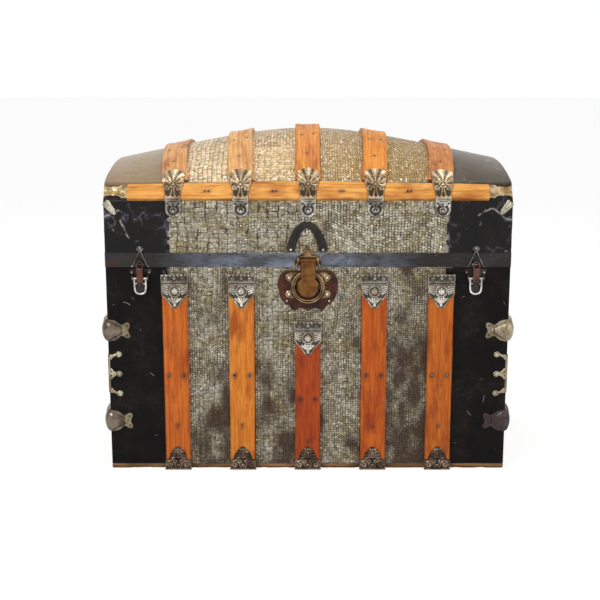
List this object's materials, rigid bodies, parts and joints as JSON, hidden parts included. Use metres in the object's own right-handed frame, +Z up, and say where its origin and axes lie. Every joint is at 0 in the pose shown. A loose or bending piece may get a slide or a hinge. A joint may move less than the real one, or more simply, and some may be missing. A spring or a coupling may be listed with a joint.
{
  "type": "dome top trunk",
  "caption": "Dome top trunk of wood clad in hide-pattern tin, with hardwood slats, pressed clamps, draw latches, hasp lock, lift-out tray and leather handles.",
  "frame": {"origin": "on the floor under the middle of the box", "axes": "+Z up, the front with the lock faces -Y, +X to the right when facing the front"},
  "size_m": [0.8366, 0.4833, 0.6543],
  "materials": {
    "board": "bare planed pine, dry and darkened",
    "slat": "old orange-brown varnish, worn",
    "dome_slat": "light orange varnish, worn",
    "black_tin": "black japanned tin, scratched",
    "embossed_tin": "hide-pattern embossed tin, grey olive",
    "dome_tin": "hide-pattern embossed tin, gold tan",
    "band": "blue-grey steel strip",
    "pewter": "pressed iron, nickel grey, worn bright",
    "escutcheon": "dark red-brown lacquered sheet",
    "brass": "brown tarnished brass",
    "rusty_iron": "rusty iron",
    "steel": "bright worn steel",
    "leather": "dark brown strap leather, dry"
  },
  "bodies": {
    "box": {"back_slat_1": "slat", "back_slat_2": "slat", "back_slat_3": "slat", "bottom_board": "board", "box_back_tin": "embossed_tin", "box_back_wall": "board", "box_front_tin": "embossed_tin", "box_front_wall": "board", "box_left_end": "board", "box_left_tin": "black_tin", "box_right_end": "board", "box_right_tin": "black_tin", "corner_bumper_back_left_lower": "pewter", "corner_bumper_back_left_upper": "pewter", "corner_bumper_back_right_lower": "pewter", "corner_bumper_back_right_upper": "pewter", "corner_bumper_front_left_lower": "pewter", "corner_bumper_front_left_upper": "pewter", "corner_bumper_front_right_lower": "pewter", "corner_bumper_front_right_upper": "pewter", "end_slat_left_lower": "slat", "end_slat_left_upper": "slat", "end_slat_right_lower": "slat", "end_slat_right_upper": "slat", "front_slat_1": "slat", "front_slat_2": "slat", "front_slat_3": "slat", "front_slat_4": "slat", "front_slat_5": "slat", "handle_left": "leather", "handle_right": "leather", "hinge_box_leaf_left": "steel", "hinge_box_leaf_right": "steel", "latch_base_left": "rusty_iron", "latch_base_right": "rusty_iron", "lock_case": "brass", "lock_escutcheon": "escutcheon"},
    "lid": {"dome_boards": "board", "dome_slat_1": "dome_slat", "dome_slat_2": "dome_slat", "dome_slat_3": "dome_slat", "dome_slat_4": "dome_slat", "dome_slat_5": "dome_slat", "dome_tin": "dome_tin", "hinge_lid_leaf_left": "steel", "hinge_lid_leaf_right": "steel", "lid_back_rail": "dome_slat", "lid_band": "band", "lid_frame": "board", "lid_front_rail": "dome_slat", "lid_left_tin": "black_tin", "lid_right_tin": "black_tin"},
    "hasp": {"hasp": "brass"},
    "lock_bolt": {"lock_bolt": "steel"},
    "tray": {"tray": "board"},
    "lift_loop": {"lift_loop": "leather"},
    "latch_lever_left": {"latch_lever_left": "steel"},
    "latch_hook_left": {"latch_hook_left": "rusty_iron"},
    "latch_lever_right": {"latch_lever_right": "steel"},
    "latch_hook_right": {"latch_hook_right": "rusty_iron"}
  },
  "joints": [
    {"name": "lid_hinge", "type": "hinge", "parent": "box", "child": "lid", "pos_m": [0, 0.2335, 0.398], "axis": [-1, 0, 0], "range_deg": [0, 105]},
    {"name": "hasp_hinge", "type": "hinge", "parent": "lid", "child": "hasp", "pos_m": [0, -0.2361, 0.411], "axis": [-1, 0, 0], "range_deg": [0, 130]},
    {"name": "lock_bolt_slide", "type": "slide", "parent": "box", "child": "lock_bolt", "axis": [-1, 0, 0], "range_m": [0, 0.012]},
    {"name": "tray_lift", "type": "slide", "parent": "box", "child": "tray", "axis": [0, 0, 1], "range_m": [0, 0.1]},
    {"name": "lift_loop_fold", "type": "hinge", "parent": "lid", "child": "lift_loop", "pos_m": [-0.002, -0.2311, 0.429], "axis": [1, 0, 0], "range_deg": [0, 45], "stiffness_Nm_per_rad": 0.05},
    {"name": "latch_lever_left_swing", "type": "hinge", "parent": "box", "child": "latch_lever_left", "pos_m": [-0.315, -0.238, 0.378], "axis": [-1, 0, 0], "range_deg": [0, 120]},
    {"name": "latch_hook_left_swing", "type": "hinge", "parent": "latch_lever_left", "child": "latch_hook_left", "pos_m": [-0.315, -0.238, 0.368], "axis": [-1, 0, 0], "range_deg": [-144, 0]},
    {"name": "latch_lever_right_swing", "type": "hinge", "parent": "box", "child": "latch_lever_right", "pos_m": [0.315, -0.238, 0.378], "axis": [-1, 0, 0], "range_deg": [0, 120]},
    {"name": "latch_hook_right_swing", "type": "hinge", "parent": "latch_lever_right", "child": "latch_hook_right", "pos_m": [0.315, -0.238, 0.368], "axis": [-1, 0, 0], "range_deg": [-144, 0]}
  ],
  "couplings": [
    {"joint": "latch_hook_left_swing", "follows": "latch_lever_left_swing", "ratio": -1.2},
    {"joint": "latch_hook_right_swing", "follows": "latch_lever_right_swing", "ratio": -1.2}
  ]
}
